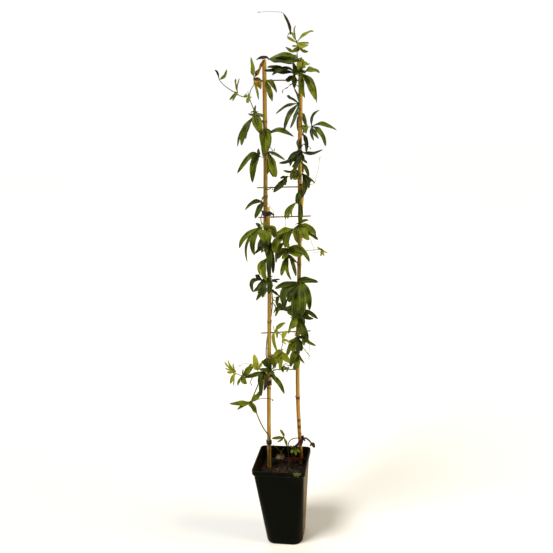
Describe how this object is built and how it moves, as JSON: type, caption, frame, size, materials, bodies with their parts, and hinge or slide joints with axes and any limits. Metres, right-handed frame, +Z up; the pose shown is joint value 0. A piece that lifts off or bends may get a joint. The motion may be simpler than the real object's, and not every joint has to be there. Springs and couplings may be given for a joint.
{
  "type": "passion flower vine",
  "caption": "Potted climbing vine with lobed leaves, twining stems and tendrils on a slender bamboo ladder trellis in a deep square pot.",
  "frame": {"origin": "centre of the pot's flat underside", "axes": "+Z up along the trellis, +X to the pot's right, -Y to the pot's front"},
  "size_m": [0.2812, 0.1525, 1.2558],
  "materials": {
    "pot": "satin black",
    "soil": "moist potting soil",
    "cane": "smooth bamboo",
    "rung": "split cane",
    "tie": "soft black tie",
    "vine": "living leaf and stem"
  },
  "bodies": {
    "root": {"pot": "pot", "soil": "soil", "cane_lower_left": "cane", "cane_lower_right": "cane", "cane_upper_left": "cane", "cane_upper_right": "cane", "rung_1": "rung", "rung_2": "rung", "rung_3": "rung", "rung_4": "rung", "tie_base_left": "tie", "tie_low_left": "tie", "tie_left": "tie", "tie_right": "tie", "left_stem": "vine", "right_stem": "vine", "base_shoot_left": "vine", "base_shoot_right": "vine"}
  },
  "joints": []
}
